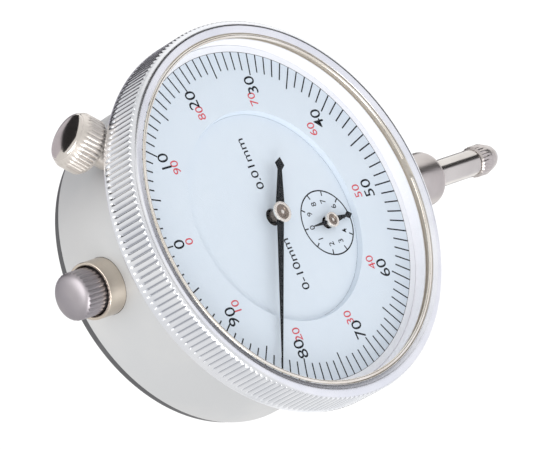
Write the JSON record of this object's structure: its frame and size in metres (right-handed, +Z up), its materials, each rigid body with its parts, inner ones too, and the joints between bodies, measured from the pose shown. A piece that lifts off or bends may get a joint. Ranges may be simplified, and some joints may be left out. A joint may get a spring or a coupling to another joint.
{
  "type": "dial indicator",
  "caption": "Plunger dial indicator with a knurled turning bezel, round clamping stem, lifting cap, lug back and a geared pointer movement.",
  "frame": {"origin": "on the spindle's axis, halfway along the part of the stem that a holder clamps", "axes": "+Z up along the spindle, towards the lifting cap; the dial faces -Y; +X is to the right of someone who reads the dial"},
  "size_m": [0.055, 0.0359, 0.0917],
  "materials": {
    "satin_case": "satin plated, faintly warm light grey",
    "dark_cover": "dark grey baked paint, fine texture",
    "steel": "ground steel",
    "nickel": "warm nickel plate",
    "chrome": "bright satin chrome, polished rim",
    "ball": "polished hard ball",
    "brass": "grained brass",
    "arbor_steel": "polished pivots",
    "spring_steel": "drawn spring wire",
    "ring_wire": "bright pale wire",
    "dial_face": "printed pale blue grey enamel",
    "crystal": "clear flat crystal",
    "pointer_black": "satin black"
  },
  "bodies": {
    "case": {"case_shell": "satin_case", "stem": "steel", "upper_bush": "nickel", "back_cover": "dark_cover", "cover_screw_1": "steel", "cover_screw_2": "steel", "cover_screw_3": "steel", "cover_screw_4": "steel", "bezel_wire_ring": "spring_steel", "clamp_shoe": "brass", "front_plate": "brass", "plate_screw_1": "steel", "plate_screw_2": "steel", "plate_screw_3": "steel", "middle_plate": "brass", "pillar_1": "brass", "pillar_2": "brass", "pillar_3": "brass", "pillar_4": "brass", "pillar_screw_1": "steel", "pillar_screw_2": "steel", "pillar_screw_3": "steel", "pillar_screw_4": "steel", "arbor_cock": "brass", "cock_screw": "steel", "guide_block": "brass", "spring_post": "steel", "return_spring": "spring_steel", "hairspring": "spring_steel", "hairspring_stud": "brass", "centre_dial": "dial_face"},
    "bezel": {"bezel_ring": "chrome", "dial_ring": "dial_face", "crystal": "crystal", "crystal_snap_ring": "ring_wire"},
    "spindle": {"spindle": "steel", "guide_pin": "steel", "lifting_cap": "nickel", "contact_point": "steel", "contact_ball": "ball"},
    "counter_train": {"rack_pinion": "arbor_steel", "rack_gear": "brass", "counter_pointer": "pointer_black", "counter_hub_cap": "nickel"},
    "centre_train": {"centre_pinion": "arbor_steel", "main_pointer": "pointer_black", "pointer_hub_cap": "nickel"},
    "take_up": {"take_up_arbor": "arbor_steel", "take_up_gear": "brass", "hairspring_collet": "brass"},
    "clamp_screw": {"clamp_screw": "nickel"}
  },
  "joints": [
    {"name": "spindle_slide", "type": "slide", "parent": "case", "child": "spindle", "axis": [0, 0, 1], "range_m": [0, 0.01], "stiffness_N_per_m": 20, "springref_m": -0.02, "deforming": ["return_spring"]},
    {"name": "counter_turn", "type": "hinge", "parent": "case", "child": "counter_train", "pos_m": [-0.00309, 0, 0.02459], "axis": [0, 1, 0], "range_deg": [-362, 2]},
    {"name": "centre_turn", "type": "hinge", "parent": "case", "child": "centre_train", "pos_m": [0, 0, 0.034], "axis": [0, 1, 0], "range_deg": [-20, 3620]},
    {"name": "take_up_turn", "type": "hinge", "parent": "case", "child": "take_up", "pos_m": [0.00309, 0, 0.0434], "axis": [0, 1, 0], "range_deg": [-362, 2]},
    {"name": "bezel_turn", "type": "hinge", "parent": "case", "child": "bezel", "pos_m": [0, 0, 0.034], "axis": [0, 1, 0], "continuous": true},
    {"name": "clamp_turn", "type": "hinge", "parent": "case", "child": "clamp_screw", "pos_m": [0, -0.0052, 0.034], "axis": [0.6494, 0, 0.7604], "range_deg": [0, 540]}
  ],
  "couplings": [
    {"joint": "counter_turn", "follows": "spindle_slide", "rad_per_m": -628.32},
    {"joint": "take_up_turn", "follows": "spindle_slide", "rad_per_m": -628.32},
    {"joint": "centre_turn", "follows": "spindle_slide", "rad_per_m": 6283.2}
  ]
}
